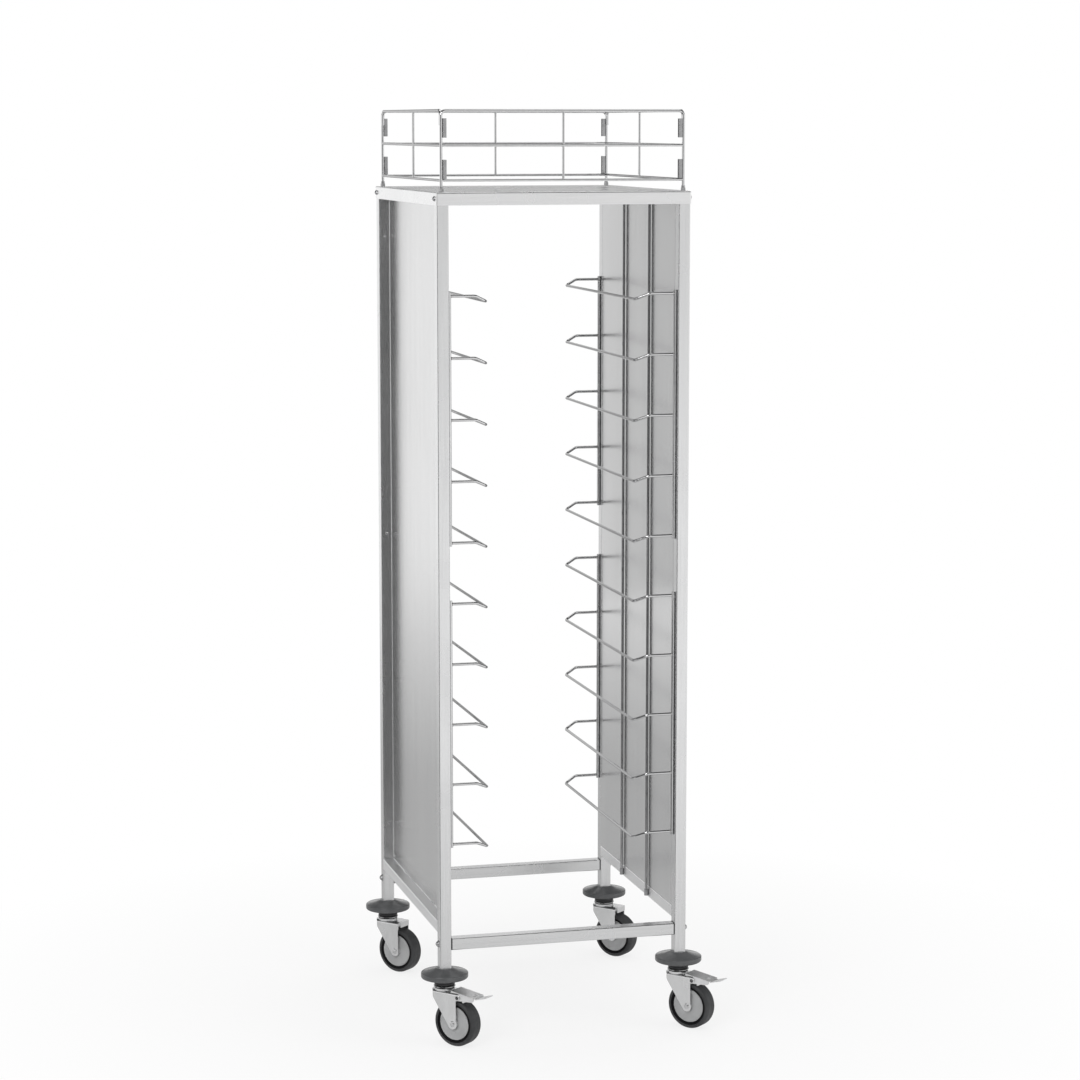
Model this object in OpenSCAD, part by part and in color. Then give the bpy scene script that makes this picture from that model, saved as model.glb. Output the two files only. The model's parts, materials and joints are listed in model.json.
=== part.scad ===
// Gastronorm tray trolley: a square-tube frame with closed sides, ten pairs of
// wire tray supports, a top shelf with a wire gallery, and four swivel castors.
// Millimetres, +Z up. The origin is on the floor, under the middle of the frame.
// +X is the trolley's right side and -Y its front, where the trays go in.

/* [Frame] */
// Width across the posts
frame_w = 540; // [480:5:620]
// Depth across the posts
frame_d = 610; // [580:5:680]
// Length of each post, from the bumper to the underside of the shelf
post_len = 1622; // [1600:1:1700]
// Side of the square tubes
tube = 25; // [24:0.5:28]
// Wall of the square tubes
tube_wall = 1.5; // [1:0.1:2]
// Rounding of the outer tube edges
tube_round = 2.2; // [2.1:0.1:3]
// Rounding inside the tubes
tube_inner_round = 0.6; // [0.4:0.1:1]
// From the foot of a post up to the front and rear rails
rail_rise = 39; // [34:1:46]
// From the foot of a post up to the side rails
side_rail_rise = 73; // [72:1:80]

/* [Side panels] */
// Thickness of the panel sheet
panel_sheet = 1; // [0.8:0.1:1.5]
// Width of the flanges on the panel's upright edges
panel_flange = 22; // [18:1:23]
// Outer rounding of the panel's bends
panel_round = 2.5; // [2:0.1:3]
// Gap above and below the panel
panel_gap = 0.5; // [0.3:0.1:2]
// Distance of the outermost rivets from the panel's ends
rivet_inset = 84; // [60:1:110]
// Diameter of the rivet shanks
rivet_d = 4; // [3:0.1:5]
// Diameter of the rivet heads
rivet_head_d = 8; // [7:0.1:10]
// Height of the rivet heads
rivet_head_h = 1.6; // [1:0.1:2.4]

/* [Guard rods] */
// Diameter of the guard rods
guard_d = 6; // [5:0.1:7]
// Diameter of the ferrules on the rods' ends
ferrule_d = 8.4; // [8:0.1:10]
// Length of the ferrules
ferrule_l = 14; // [10:1:18]
// The rods end this far inside the side rails' outer faces
ferrule_inset = 3.5; // [2:0.5:5]
// Distance between the two rods of a side
guard_span = 194; // [160:1:240]
// The rods' middle lies this far from the frame's middle, towards the front
guard_shift = 9; // [0:1:20]

/* [Tray supports] */
// Tray supports on each rack
rack_levels = 5; // [3:1:5]
// Height from one tray support to the next
level_pitch = 127.5; // [110:0.5:128]
// From the side rail's top up to the lowest support's ends
first_level = 166; // [150:1:168]
// Diameter of the support wires
support_d = 6; // [5:0.1:6.4]
// Diameter of the upright wires
upright_d = 7; // [6.8:0.1:9]
// The uprights pass the outermost supports by this much
upright_over = 7; // [5:1:12]
// Length of the level end of a support, from the post
shoulder = 58; // [50:1:60]
// Reach of a support into the bay, from the post
support_reach = 85.5; // [84:0.5:95]
// A support's long run lies this far inside its ends
support_draw_in = 17; // [13:0.5:20]
// A support's long run lies this far below its ends
support_drop = 12.5; // [10:0.5:15]
// Bend radius of the supports, on the wire's middle
support_bend = 14; // [10:0.5:16]

/* [Top shelf] */
// Thickness of the shelf's sheet
shelf_sheet = 1.5; // [1:0.1:2]
// Height of the apron
apron_h = 27; // [26:1:40]
// Rounding of the shelf's folded edges
shelf_round = 3; // [2.2:0.1:4]

/* [Gallery] */
// Diameter of the gallery's frame wire
gallery_d = 6; // [5.6:0.1:7]
// Diameter of the gallery's rails
gallery_rail_d = 5.5; // [5:0.1:6]
// Diameter of the middle uprights
gallery_bar_d = 5; // [4.5:0.1:5.4]
// Height of the rim's middle above the shelf
gallery_h = 164.5; // [150:0.5:200]
// Height of the lower rails above the shelf
gallery_low = 23.5; // [22:0.5:27]
// Height of the middle rails above the shelf
gallery_mid = 94; // [86:0.5:98]
// Bend radius of the rim's corners
gallery_bend = 10; // [8:0.5:12]
// The side galleries' middle uprights lie this far off their middle
gallery_bar_shift = 28; // [0:1:60]
// Length of the turned-down ends of the side rims
gallery_stub = 30; // [22:1:36]
// Length of the corner clips
clip_l = 39; // [30:1:40]
// Outer width of the corner clips
clip_w = 8; // [7:0.1:10]
// Sheet of the corner clips
clip_sheet = 1.2; // [1:0.1:1.6]
// Diameter of the bushes under the gallery's legs
leg_bush_d = 10; // [9.6:0.2:12]
// Height of a bush's flange above the shelf
leg_flange_h = 1.2; // [1:0.1:2]
// Height of the nut on a bush's flange
leg_nut_h = 5; // [4:0.5:6]
// Height of a bush above the shelf
leg_bush_h = 11; // [9:0.5:14]
// Wall of a bush's collar
leg_collar_wall = 0.9; // [0.7:0.1:1.2]
// How far a leg reaches into the insert in its post
leg_seat = 8; // [6:0.5:9]
// Length of the inserts in the posts' tops
insert_l = 34; // [30:1:50]

/* [Bolts] */
// Shank diameter of the rail bolts
rail_bolt_d = 8; // [6:0.5:10]
// Head diameter of the rail bolts
rail_bolt_head = 12; // [11:0.5:14]
// Head height of the rail bolts
rail_bolt_head_h = 5; // [3.5:0.5:6]
// Washer diameter of the rail bolts
washer_d = 16; // [15:0.5:20]
// Washer thickness
washer_t = 1.5; // [1:0.1:2]
// Shank diameter of the shelf bolts
shelf_bolt_d = 6; // [5:0.5:7]
// Head diameter of the shelf bolts
shelf_bolt_head = 11; // [10:0.5:14]
// Head height of the shelf bolts
shelf_bolt_head_h = 4.5; // [3:0.5:5]
// Shank length of the shelf bolts
shelf_bolt_l = 7; // [6:0.5:8]
// Length of a bolt beyond the wall that it holds
bolt_grip = 16; // [12:1:18]
// Flange thickness of the plugs in the rails' ends
plug_flange = 2; // [1.5:0.1:3]
// Length of the plugs in the rails' ends
plug_l = 26; // [22:1:34]

/* [Castors] */
// Wheel diameter
wheel_d = 100; // [90:1:104]
// Wheel width at the tread
wheel_w = 32; // [28:1:34]
// Distance of the axle behind the swivel's middle
trail = 34; // [30:1:36]
// Height of the fork's top above the axle
fork_rise = 68; // [66:1:76]
// Outer width of the fork
fork_w = 43; // [42:0.5:48]
// Sheet of the fork
fork_sheet = 2.5; // [2:0.1:3]
// Outer bend rounding of the fork
fork_round = 6; // [5:0.5:7]
// Radius of the fork's crown
crown_r = 27; // [26:0.5:28]
// Radius of the round ends of the fork's legs
leg_round = 11; // [10:0.5:12]
// The fork's legs reach this far behind the axle
leg_reach = 9; // [8:0.5:10]
// Width of the tab behind the crown of a castor without a brake
tab_w = 30; // [26:1:32]
// The tab reaches this far behind the axle
tab_reach = 14; // [12:0.5:15]
// Height of the tab's turned-down end
tab_drop = 12; // [10:0.5:13]
// Axle bolt diameter
axle_d = 8; // [7:0.5:10]
// Head diameter of the axle bolts
axle_head_d = 10; // [9:0.5:14]
// Head height of the axle bolts
axle_head_h = 2; // [1.5:0.5:4]
// Width of the axle nuts across their corners
axle_nut_d = 14.5; // [13:0.5:16]
// Height of the axle nuts
axle_nut_h = 5; // [4:0.5:6]
// Thickness of the tyres
tyre_t = 11; // [10:0.5:12]
// Rounding of the tyres' shoulders
tyre_round = 6; // [5:0.5:7]
// Kingpin diameter
kingpin_d = 12; // [10:0.5:14]
// Radius of the upper race plate
race_r = 22.5; // [20:0.5:24]
// Height of the lower race, above the fork
lower_race_h = 3; // [2.5:0.5:4]
// Height of the seal between the races
seal_h = 3.5; // [3:0.5:4]
// Thickness of the upper race plate
race_h = 3; // [2.5:0.5:4]
// Height from the race plate to the bumper
neck_h = 13.5; // [10:0.5:18]
// Bumper diameter
bumper_d = 100; // [90:1:110]
// Bumper height, from its underside to the post
bumper_h = 22; // [20:0.5:28]
// Height of the bumper's edge
bumper_edge = 10.5; // [9.5:0.5:13]
// Rounding of the bumper's edge
bumper_soft = 3.5; // [3:0.5:4]
// Radius of the bumper's hub, around the kingpin
bumper_hub_r = 10; // [9:0.5:12]
// Radius of the seat on which the post stands
bumper_seat_r = 18.5; // [18:0.5:20]
// Length of the plug inside the post's foot
foot_plug_l = 30; // [24:1:31]
// The way that the castors trail, as in the photograph, from +X
castor_turn = -48; // [-180:1:180]

/* [Brake pedals] */
// Pivot of the pedal behind the swivel's middle
pedal_pivot_x = 46; // [45:0.5:48]
// Pivot of the pedal below the fork's top
pedal_pivot_drop = 10; // [9:0.5:11]
// Pivot pin diameter
pedal_pin_d = 5; // [4:0.5:6]
// Length from the pivot to the pedal's tip
pedal_l = 68; // [60:1:80]
// Sheet of the pedal
pedal_sheet = 2; // [1.5:0.1:2.2]
// Width of the pedal's lip
pedal_lip_w = 26; // [22:1:28]
// Angle that the pedal turns down to lock the wheel
pedal_travel = 12; // [6:0.5:12]

/* [Hidden] */
$fn = 48;

// Clearances
touch = 0.05; // between pieces that are welded or clamped together
seat_gap = 0.25; // between a tyre and its wheel centre
bolt_gap = 0.2; // round a bolt in its hole
slide_gap = 0.1; // round a plug in its tube
running_gap = 0.05; // round a pin that turns
side_gap = 0.35; // beside a wheel, a pedal or a swivel
bend_swell = 0.03; // a bend is this much thicker than its wire, on the radius
bend_lap = 0.3; // a straight run reaches this far into its bend
through = 1; // a cut runs past a face by this much

// Posts
post_x = frame_w / 2 - tube / 2;
post_y = frame_d / 2 - tube / 2;
inner_x = frame_w / 2 - tube;
inner_y = frame_d / 2 - tube;

// Castor heights, from the floor up
axle_z = wheel_d / 2;
crown_z = axle_z + fork_rise;
race_z = crown_z + lower_race_h + seal_h;
bumper_z = race_z + race_h + neck_h;
foot_z = bumper_z + bumper_h;
post_top = foot_z + post_len;
shelf_z = post_top + shelf_sheet;
rail_z = foot_z + rail_rise + tube / 2;
side_rail_z = foot_z + side_rail_rise + tube / 2;
top_rail_z = post_top - tube / 2;
bolt_z = shelf_z - apron_h / 2;

// Panels
panel_z = side_rail_z + tube / 2 + panel_gap;
panel_h = top_rail_z - tube / 2 - panel_gap - panel_z;
rivet_x = inner_x + panel_flange / 2;

// Tray supports
level_z = side_rail_z + tube / 2 + first_level;

castor_places = [[-1, -1], [1, -1], [-1, 1], [1, 1]];

// Helpers

function unit(v) = v / norm(v);
function turn_at(a, p, b) = acos(unit(p - a) * unit(b - p));
function trim_at(a, p, b, r) = r * tan(turn_at(a, p, b) / 2);

// Places its children in all four corners of the frame
module at_corners(x, y) {
    for (c = castor_places) translate([c.x * x, c.y * y, 0]) children();
}

module rounded_square(w, d, r) {
    square([w - 2 * r, d], center = true);
    square([w, d - 2 * r], center = true);
    for (x = [-1, 1], y = [-1, 1]) translate([x * (w / 2 - r), y * (d / 2 - r)]) circle(r);
}

module tube_section() {
    difference() {
        rounded_square(tube, tube, tube_round);
        rounded_square(tube - 2 * tube_wall, tube - 2 * tube_wall, tube_inner_round);
    }
}

// A square tube along +Z
module tube_length(l) {
    linear_extrude(l) tube_section();
}

// A turned piece whose axis is +Y
module along_y() {
    rotate([-90, 0, 0]) children();
}

// A turned piece whose axis points away from the middle, on the side s
module outward_x(s) {
    rotate([0, 90 * s, 0]) children();
}

// A straight run of wire from a to b, cut short at both ends
module wire_run(a, b, d, cut_a, cut_b) {
    dir = unit(b - a);
    side = unit(cross(abs(dir.z) > 0.9 ? [0, 1, 0] : [0, 0, 1], dir));
    up = cross(dir, side);
    s = a + dir * cut_a;
    multmatrix([[side.x, up.x, dir.x, s.x], [side.y, up.y, dir.y, s.y], [side.z, up.z, dir.z, s.z]])
        cylinder(h = norm(b - a) - cut_a - cut_b, d = d);
}

// The bend of a wire at p, between a and b
module wire_bend(a, p, b, d, r) {
    u = unit(p - a);
    w = unit(cross(u, unit(b - p)));
    x = cross(u, w);
    c = p - u * trim_at(a, p, b, r) - x * r;
    multmatrix([[x.x, u.x, w.x, c.x], [x.y, u.y, w.y, c.y], [x.z, u.z, w.z, c.z]])
        rotate_extrude(angle = turn_at(a, p, b)) translate([r, 0]) circle(d = d + 2 * bend_swell);
}

// A round wire along straight runs, with a bend of radius r at each inner point
module bent_wire(pts, d, r) {
    last = len(pts) - 1;
    for (i = [0:last - 1]) {
        cut_a = i == 0 ? 0 : trim_at(pts[i - 1], pts[i], pts[i + 1], r) - bend_lap;
        cut_b = i == last - 1 ? 0 : trim_at(pts[i], pts[i + 1], pts[i + 2], r) - bend_lap;
        wire_run(pts[i], pts[i + 1], d, cut_a, cut_b);
    }
    for (i = [1:last - 1]) wire_bend(pts[i - 1], pts[i], pts[i + 1], d, r);
}

// A bolt or rivet along +Z with a domed head on the plane z = 0
module domed_bolt(d, head_d, head_h, l) {
    translate([0, 0, -l]) cylinder(h = l + head_h / 2, d = d);
    ball = (head_d * head_d / 4 + head_h * head_h) / (2 * head_h);
    intersection() {
        cylinder(h = head_h, d = head_d);
        translate([0, 0, head_h - ball]) sphere(ball, $fn = 64);
    }
}

// Frame

module post(sx, sy) {
    color("gainsboro") difference() {
        translate([sx * post_x, sy * post_y, foot_z]) tube_length(post_len);
        translate([sx * post_x, sy * post_y, rail_z]) rotate([0, 90, 0])
            cylinder(h = tube + 2 * through, d = rail_bolt_d + 2 * bolt_gap, center = true);
        translate([sx * post_x, sy * post_y, bolt_z]) outward_x(sx)
            cylinder(h = tube, d = shelf_bolt_d + 2 * bolt_gap);
        for (z = rivet_heights()) translate([sx * rivet_x, sy * inner_y, z]) rotate([90, 0, 0])
            cylinder(h = 4 * tube_wall, d = rivet_d + 2 * touch, center = true);
    }
}

function rivet_heights() = [for (k = [-1:1]) panel_z + panel_h / 2 + k * (panel_h / 2 - rivet_inset)];

// Front or rear rail, with a plug's flange at each end
module cross_rail(sy) {
    l = 2 * (inner_x - plug_flange);
    color("gainsboro") translate([-l / 2, sy * post_y, rail_z]) rotate([90, 0, 90]) tube_length(l);
}

module side_rail(sx, z) {
    color("gainsboro") translate([sx * post_x, inner_y, z]) rotate([90, 0, 0]) tube_length(2 * inner_y);
}

module rails_top() {
    for (sx = [-1, 1]) side_rail(sx, top_rail_z);
}

// A square plug that fills a tube, along +Z
module tube_plug(l) {
    w = tube - 2 * tube_wall - 2 * slide_gap;
    linear_extrude(l) rounded_square(w, w, tube_inner_round);
}

module rail_plugs() {
    color("dimgray") for (sx = [-1, 1], sy = [-1, 1])
        translate([sx * inner_x, sy * post_y, rail_z]) rotate([90, 0, -90 * sx]) difference() {
            union() {
                linear_extrude(plug_flange) rounded_square(tube, tube, tube_round);
                tube_plug(plug_l);
            }
            translate([0, 0, -through]) cylinder(h = plug_l + 2 * through, d = rail_bolt_d + 2 * touch);
        }
}

module rail_bolts() {
    color("silver") at_corner_sides(rail_z, frame_w / 2 + washer_t)
        domed_bolt(rail_bolt_d, rail_bolt_head, rail_bolt_head_h, washer_t + tube + bolt_grip);
    color("silver") at_corner_sides(rail_z, frame_w / 2) difference() {
        cylinder(h = washer_t, d = washer_d);
        translate([0, 0, -through]) cylinder(h = washer_t + 2 * through, d = rail_bolt_d + 2 * bolt_gap);
    }
}

// Places its children on the outer side faces of the four posts, pointing outwards
module at_corner_sides(z, x) {
    for (sx = [-1, 1], sy = [-1, 1]) translate([sx * x, sy * post_y, z]) outward_x(sx) children();
}

// Top shelf

// A block whose upright and top edges are rounded
module rounded_block(w, d, h, r) {
    intersection() {
        linear_extrude(h) rounded_square(w, d, r);
        translate([0, d / 2, 0]) rotate([90, 0, 0]) linear_extrude(d) top_rounded(w, h, r);
        translate([-w / 2, 0, 0]) rotate([90, 0, 90]) linear_extrude(w) top_rounded(d, h, r);
    }
}

module top_rounded(w, h, r) {
    translate([-w / 2, 0]) square([w, h - r]);
    translate([-w / 2 + r, 0]) square([w - 2 * r, h]);
    for (x = [-1, 1]) translate([x * (w / 2 - r), h - r]) circle(r);
}

module top_shelf() {
    w = frame_w + 2 * shelf_sheet + 2 * touch;
    d = frame_d + 2 * shelf_sheet + 2 * touch;
    inner_r = shelf_round - shelf_sheet;
    color("whitesmoke") difference() {
        translate([0, 0, shelf_z - apron_h]) rounded_block(w, d, apron_h, shelf_round);
        translate([0, 0, post_top - apron_h])
            linear_extrude(apron_h) rounded_square(w - 2 * shelf_sheet, d - 2 * shelf_sheet, inner_r);
        at_corners(post_x, post_y) translate([0, 0, post_top - through])
            cylinder(h = shelf_sheet + 2 * through, d = leg_bush_d + 2 * touch);
        at_corner_sides(bolt_z, frame_w / 2 - through)
            cylinder(h = shelf_sheet + 3 * through, d = shelf_bolt_d + 2 * bolt_gap);
    }
}

module shelf_bolts() {
    color("silver") at_corner_sides(bolt_z, frame_w / 2 + shelf_sheet + touch)
        domed_bolt(shelf_bolt_d, shelf_bolt_head, shelf_bolt_head_h, shelf_bolt_l);
}

module post_inserts() {
    color("dimgray") at_corners(post_x, post_y) translate([0, 0, post_top - insert_l]) difference() {
        tube_plug(insert_l);
        translate([0, 0, insert_l - leg_seat]) cylinder(h = leg_seat + through, d = gallery_d + 2 * touch);
        translate([0, 0, bolt_z - post_top + insert_l]) rotate([0, 90, 0])
            cylinder(h = 2 * tube, d = shelf_bolt_d + 2 * touch, center = true);
    }
}

// Side panels

module side_panel(sx) {
    span = 2 * inner_y - 2 * touch;
    color("lightgray") difference() {
        translate([0, 0, panel_z]) linear_extrude(panel_h) mirror([sx < 0 ? 1 : 0, 0]) difference() {
            translate([inner_x + panel_flange / 2, 0]) rounded_square(panel_flange, span, panel_round);
            translate([inner_x + panel_sheet + panel_flange / 2, 0])
                rounded_square(panel_flange, span - 2 * panel_sheet, panel_round - panel_sheet);
            translate([inner_x + panel_flange - panel_round, -span / 2]) square([2 * panel_round, span]);
        }
        for (z = rivet_heights()) translate([sx * rivet_x, 0, z]) rotate([90, 0, 0])
            cylinder(h = 2 * span, d = rivet_d + 2 * touch, center = true);
    }
}

module panel_rivets() {
    grip = panel_sheet + 2 * tube_wall + 2 * touch;
    color("silver") for (sx = [-1, 1], sy = [-1, 1], z = rivet_heights())
        translate([sx * rivet_x, sy * (inner_y - panel_sheet - touch), z]) rotate([90 * sy, 0, 0])
            domed_bolt(rivet_d, rivet_head_d, rivet_head_h, grip);
}

// Two upright rods on the side rails' inner faces, with a ferrule on each end
module guard_rods(sx) {
    low = side_rail_z - tube / 2 + ferrule_inset;
    high = post_top - ferrule_inset;
    x = inner_x - ferrule_d / 2 - touch;
    color("silver") for (y = [-1, 1]) translate([sx * x, y * guard_span / 2 - guard_shift, low]) {
        cylinder(h = high - low, d = guard_d);
        cylinder(h = ferrule_l, d = ferrule_d);
        translate([0, 0, high - low - ferrule_l]) cylinder(h = ferrule_l, d = ferrule_d);
    }
}

// Tray supports

// One bent tray support on the side sx, its ends at the height z
module tray_support(sx, z) {
    start = inner_x - upright_d / 2 - touch;
    near = inner_x - shoulder;
    reach = inner_x - support_reach;
    run_y = post_y - support_draw_in;
    low = z - support_drop;
    bent_wire([[sx * start, -post_y, z], [sx * near, -post_y, z], [sx * reach, -run_y, low],
        [sx * reach, run_y, low], [sx * near, post_y, z], [sx * start, post_y, z]], support_d, support_bend);
}

// A rack of tray supports, welded to two upright wires, from the level number first
module rack(sx, first) {
    color("silver") for (k = [0:rack_levels - 1]) tray_support(sx, level_z + (first + k) * level_pitch);
    color("silver") for (y = [-post_y, post_y])
        translate([sx * (inner_x - upright_d / 2 - touch), y, level_z + first * level_pitch - upright_over])
            cylinder(h = (rack_levels - 1) * level_pitch + 2 * upright_over, d = upright_d);
}

// Gallery

rim_z = shelf_z + gallery_h;
mid_z = shelf_z + gallery_mid;
low_z = shelf_z + gallery_low;

// Front or rear gallery: a bent frame whose legs pass the shelf, two rails and a middle upright
module gallery_frame(sy) {
    leg = post_top - leg_seat + touch;
    y = sy * post_y;
    color("silver") {
        bent_wire([[-post_x, y, leg], [-post_x, y, rim_z], [post_x, y, rim_z], [post_x, y, leg]],
            gallery_d, gallery_bend);
        for (z = [low_z, mid_z]) translate([-post_x, y, z]) rotate([0, 90, 0])
            cylinder(h = 2 * post_x, d = gallery_rail_d);
        translate([0, y, low_z]) cylinder(h = rim_z - low_z, d = gallery_bar_d);
    }
}

// Side gallery: a rim with turned-down ends beside the legs, two rails and a middle upright
module gallery_side(sx) {
    x = sx * post_x;
    end_y = post_y - gallery_d - bend_swell - touch;
    color("silver") {
        bent_wire([[x, -end_y, rim_z - gallery_stub], [x, -end_y, rim_z], [x, end_y, rim_z],
            [x, end_y, rim_z - gallery_stub]], gallery_d, gallery_bend);
        for (z = [low_z, mid_z]) difference() {
            translate([x, post_y, z]) rotate([90, 0, 0]) cylinder(h = 2 * post_y, d = gallery_rail_d);
            for (sy = [-1, 1]) translate([x, sy * post_y, z]) {
                cylinder(h = 2 * gallery_d, d = gallery_d + 2 * touch, center = true);
                rotate([0, 90, 0]) cylinder(h = 2 * gallery_d, d = gallery_rail_d + 2 * touch, center = true);
            }
        }
        translate([x, sx * gallery_bar_shift, low_z]) cylinder(h = rim_z - low_z, d = gallery_bar_d);
    }
}

// Short folded clips on the corner legs, one above the other
module gallery_clips() {
    upper = (mid_z + rim_z - clip_l) / 2;
    lower = low_z + gallery_rail_d / 2 + touch;
    x = post_x - gallery_d / 2 - touch;
    color("silver") for (sx = [-1, 1], sy = [-1, 1], z = [lower, upper])
        translate([sx * (x - clip_w / 2), sy * post_y, z]) linear_extrude(clip_l) difference() {
            rounded_square(clip_w, clip_w, clip_sheet);
            translate([-sx * clip_sheet, 0]) square([clip_w, clip_w - 2 * clip_sheet], center = true);
        }
}

// A flanged bush round each gallery leg, in the shelf's hole and on the post's insert
module gallery_feet() {
    color("silver") at_corners(post_x, post_y) translate([0, 0, shelf_z]) difference() {
        union() {
            translate([0, 0, touch - shelf_sheet])
                cylinder(h = shelf_sheet - touch + leg_flange_h, d = leg_bush_d);
            translate([0, 0, leg_flange_h]) cylinder(h = leg_nut_h, d = leg_bush_d - 4 * touch, $fn = 6);
            translate([0, 0, leg_flange_h])
                cylinder(h = leg_bush_h - leg_flange_h, d = gallery_d + 2 * leg_collar_wall);
        }
        translate([0, 0, -shelf_sheet - through])
            cylinder(h = shelf_sheet + leg_bush_h + 2 * through, d = gallery_d + 2 * touch);
    }
}

// Castors, in their own frame: the swivel axis is Z and the wheel trails along +X

axle_at = [trail, 0, axle_z];
pedal_at = [pedal_pivot_x, 0, crown_z - pedal_pivot_drop];
fork_inner = fork_w / 2 - fork_sheet;
hub_half = fork_inner - side_gap;
leg_back = trail + leg_reach;
ear_r = pedal_pin_d / 2 + 3.5;

module at_castor(sx, sy) {
    translate([sx * post_x, sy * post_y, 0]) rotate([0, 0, castor_turn]) children();
}

module castor_plugs() {
    stem_bore = kingpin_d + 2 * touch;
    color("dimgray") at_corners(post_x, post_y) translate([0, 0, foot_z]) difference() {
        tube_plug(foot_plug_l);
        translate([0, 0, -through]) cylinder(h = foot_plug_l + 2 * through, d = stem_bore);
    }
}

// The stem and kingpin in one: a rivet head under the crown, a shank, a cone above the race plate
module castor_stems() {
    head_z = crown_z - fork_sheet - side_gap;
    head_h = 3.5;
    head_r = kingpin_d / 2 + 4;
    cone_r = 14;
    cone_top_r = bumper_hub_r - 1;
    color("silver") at_corners(post_x, post_y) {
        translate([0, 0, head_z - head_h]) cylinder(h = head_h, r = head_r);
        translate([0, 0, head_z - through])
            cylinder(h = foot_z + foot_plug_l - head_z + through, d = kingpin_d);
        translate([0, 0, race_z + race_h]) cylinder(h = neck_h / 2, r1 = cone_r, r2 = cone_top_r);
    }
}

// Upper race plate and the dark seal ring under it
module castor_races() {
    bevel = race_h / 3;
    seal_r = race_r - 2.5;
    color("darkgray") at_corners(post_x, post_y) difference() {
        union() {
            translate([0, 0, race_z]) cylinder(h = race_h - bevel, r = race_r);
            translate([0, 0, race_z + race_h - bevel])
                cylinder(h = bevel, r1 = race_r, r2 = race_r - 2 * bevel);
            translate([0, 0, race_z - seal_h + side_gap]) cylinder(h = seal_h, r = seal_r);
        }
        translate([0, 0, crown_z]) cylinder(h = 3 * neck_h, d = kingpin_d + 2 * touch);
    }
}

// Round bumper: a domed disc with a hub below, under the post
module bumper(sx, sy) {
    edge_x = bumper_d / 2 - bumper_soft;
    under = 2;
    color("dimgray") translate([sx * post_x, sy * post_y, bumper_z]) rotate_extrude($fn = 96) difference() {
        union() {
            polygon([[0, 0], [edge_x - bumper_soft - 1, 0], [edge_x, under], [edge_x, bumper_edge],
                [bumper_seat_r, bumper_h], [0, bumper_h]]);
            for (z = [under + bumper_soft, bumper_edge - bumper_soft + 1])
                translate([edge_x, z]) circle(bumper_soft);
            translate([edge_x - bumper_soft, under + bumper_soft])
                square([2 * bumper_soft, bumper_edge - 2 * bumper_soft + 1 - under]);
            translate([0, -neck_h / 2]) square([bumper_hub_r, neck_h]);
        }
        translate([-kingpin_d, -neck_h]) square([1.5 * kingpin_d + touch, 2 * bumper_h + neck_h]);
    }
}

// The point where a line from p touches a circle round c, on its lower side
function touch_point(p, c, r) =
    let (v = p - c, l = norm(v), a = atan2(v.y, v.x), b = acos(r / l)) c + r * [cos(a + b), sin(a + b)];

// Side outline of the fork, from the crown down to the round end of its legs
module fork_side(has_ear) {
    axle = [trail, axle_z];
    nose = -crown_r - 2;
    heel = [-16, crown_z - 15];
    side = touch_point(heel, axle, leg_round);
    polygon([[nose, crown_z + through], [nose, crown_z - fork_round], heel, side, axle, [leg_back, axle_z],
        [leg_back, crown_z + through]]);
    translate(axle) circle(leg_round);
    if (has_ear) {
        pin_z = crown_z - pedal_pivot_drop;
        polygon([[leg_back - through, crown_z + through], [pedal_pivot_x - through, crown_z + through],
            [pedal_pivot_x + 0.8 * ear_r, pin_z + 0.4 * ear_r], [pedal_pivot_x, pin_z],
            [pedal_pivot_x - 0.5 * ear_r, pin_z - 0.8 * ear_r], [leg_back - through, pin_z - 1.5 * ear_r]]);
        translate([pedal_pivot_x, pin_z]) circle(ear_r);
    } else
        translate([leg_back - through, crown_z - fork_sheet]) square([2 * tab_reach, fork_sheet + through]);
}

// Plan outline of the fork: the round crown, the legs and the rear tab
module fork_plan(has_ear) {
    strip = has_ear ? fork_sheet - 2 * touch : fork_round;
    strip_l = has_ear ? 2 * crown_r : leg_back;
    crown_shift = 1.5;
    translate([crown_shift, 0]) circle(crown_r);
    for (s = [-1, 1]) translate([0, s > 0 ? fork_w / 2 - strip : -fork_w / 2 - through])
        square([strip_l, strip + through]);
    if (!has_ear) translate([0, -tab_w / 2]) square([trail + tab_reach, tab_w]);
}

// A channel section, open below, as wide as the fork
module fork_section(w, top, r) {
    translate([0, top - crown_z / 2]) rounded_square(w, crown_z, r);
}

module fork(has_ear) {
    color("silver") difference() {
        union() {
            intersection() {
                translate([-2 * crown_r, 0, 0]) rotate([90, 0, 90]) linear_extrude(5 * crown_r) difference() {
                    fork_section(fork_w, crown_z, fork_round);
                    fork_section(2 * fork_inner, crown_z - fork_sheet, fork_round - fork_sheet);
                    translate([-fork_inner, 0]) square([2 * fork_inner, crown_z / 2]);
                }
                rotate([90, 0, 0]) linear_extrude(2 * fork_w, center = true) fork_side(has_ear);
                linear_extrude(2 * crown_z) fork_plan(has_ear);
            }
            translate([0, 0, crown_z - fork_sheet / 2])
                cylinder(h = lower_race_h + fork_sheet / 2, r = race_r - 1);
            if (!has_ear) translate([trail + tab_reach - fork_sheet, -tab_w / 2, crown_z - tab_drop])
                cube([fork_sheet, tab_w, tab_drop]);
        }
        translate([0, 0, crown_z - fork_sheet - through])
            cylinder(h = 4 * neck_h, r = kingpin_d / 2 + running_gap);
        translate(axle_at) rotate([90, 0, 0]) cylinder(h = 2 * fork_w, d = axle_d + 2 * touch, center = true);
        if (has_ear) translate(pedal_at) rotate([90, 0, 0])
            cylinder(h = 2 * fork_w, d = pedal_pin_d + 2 * touch, center = true);
    }
}

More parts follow.
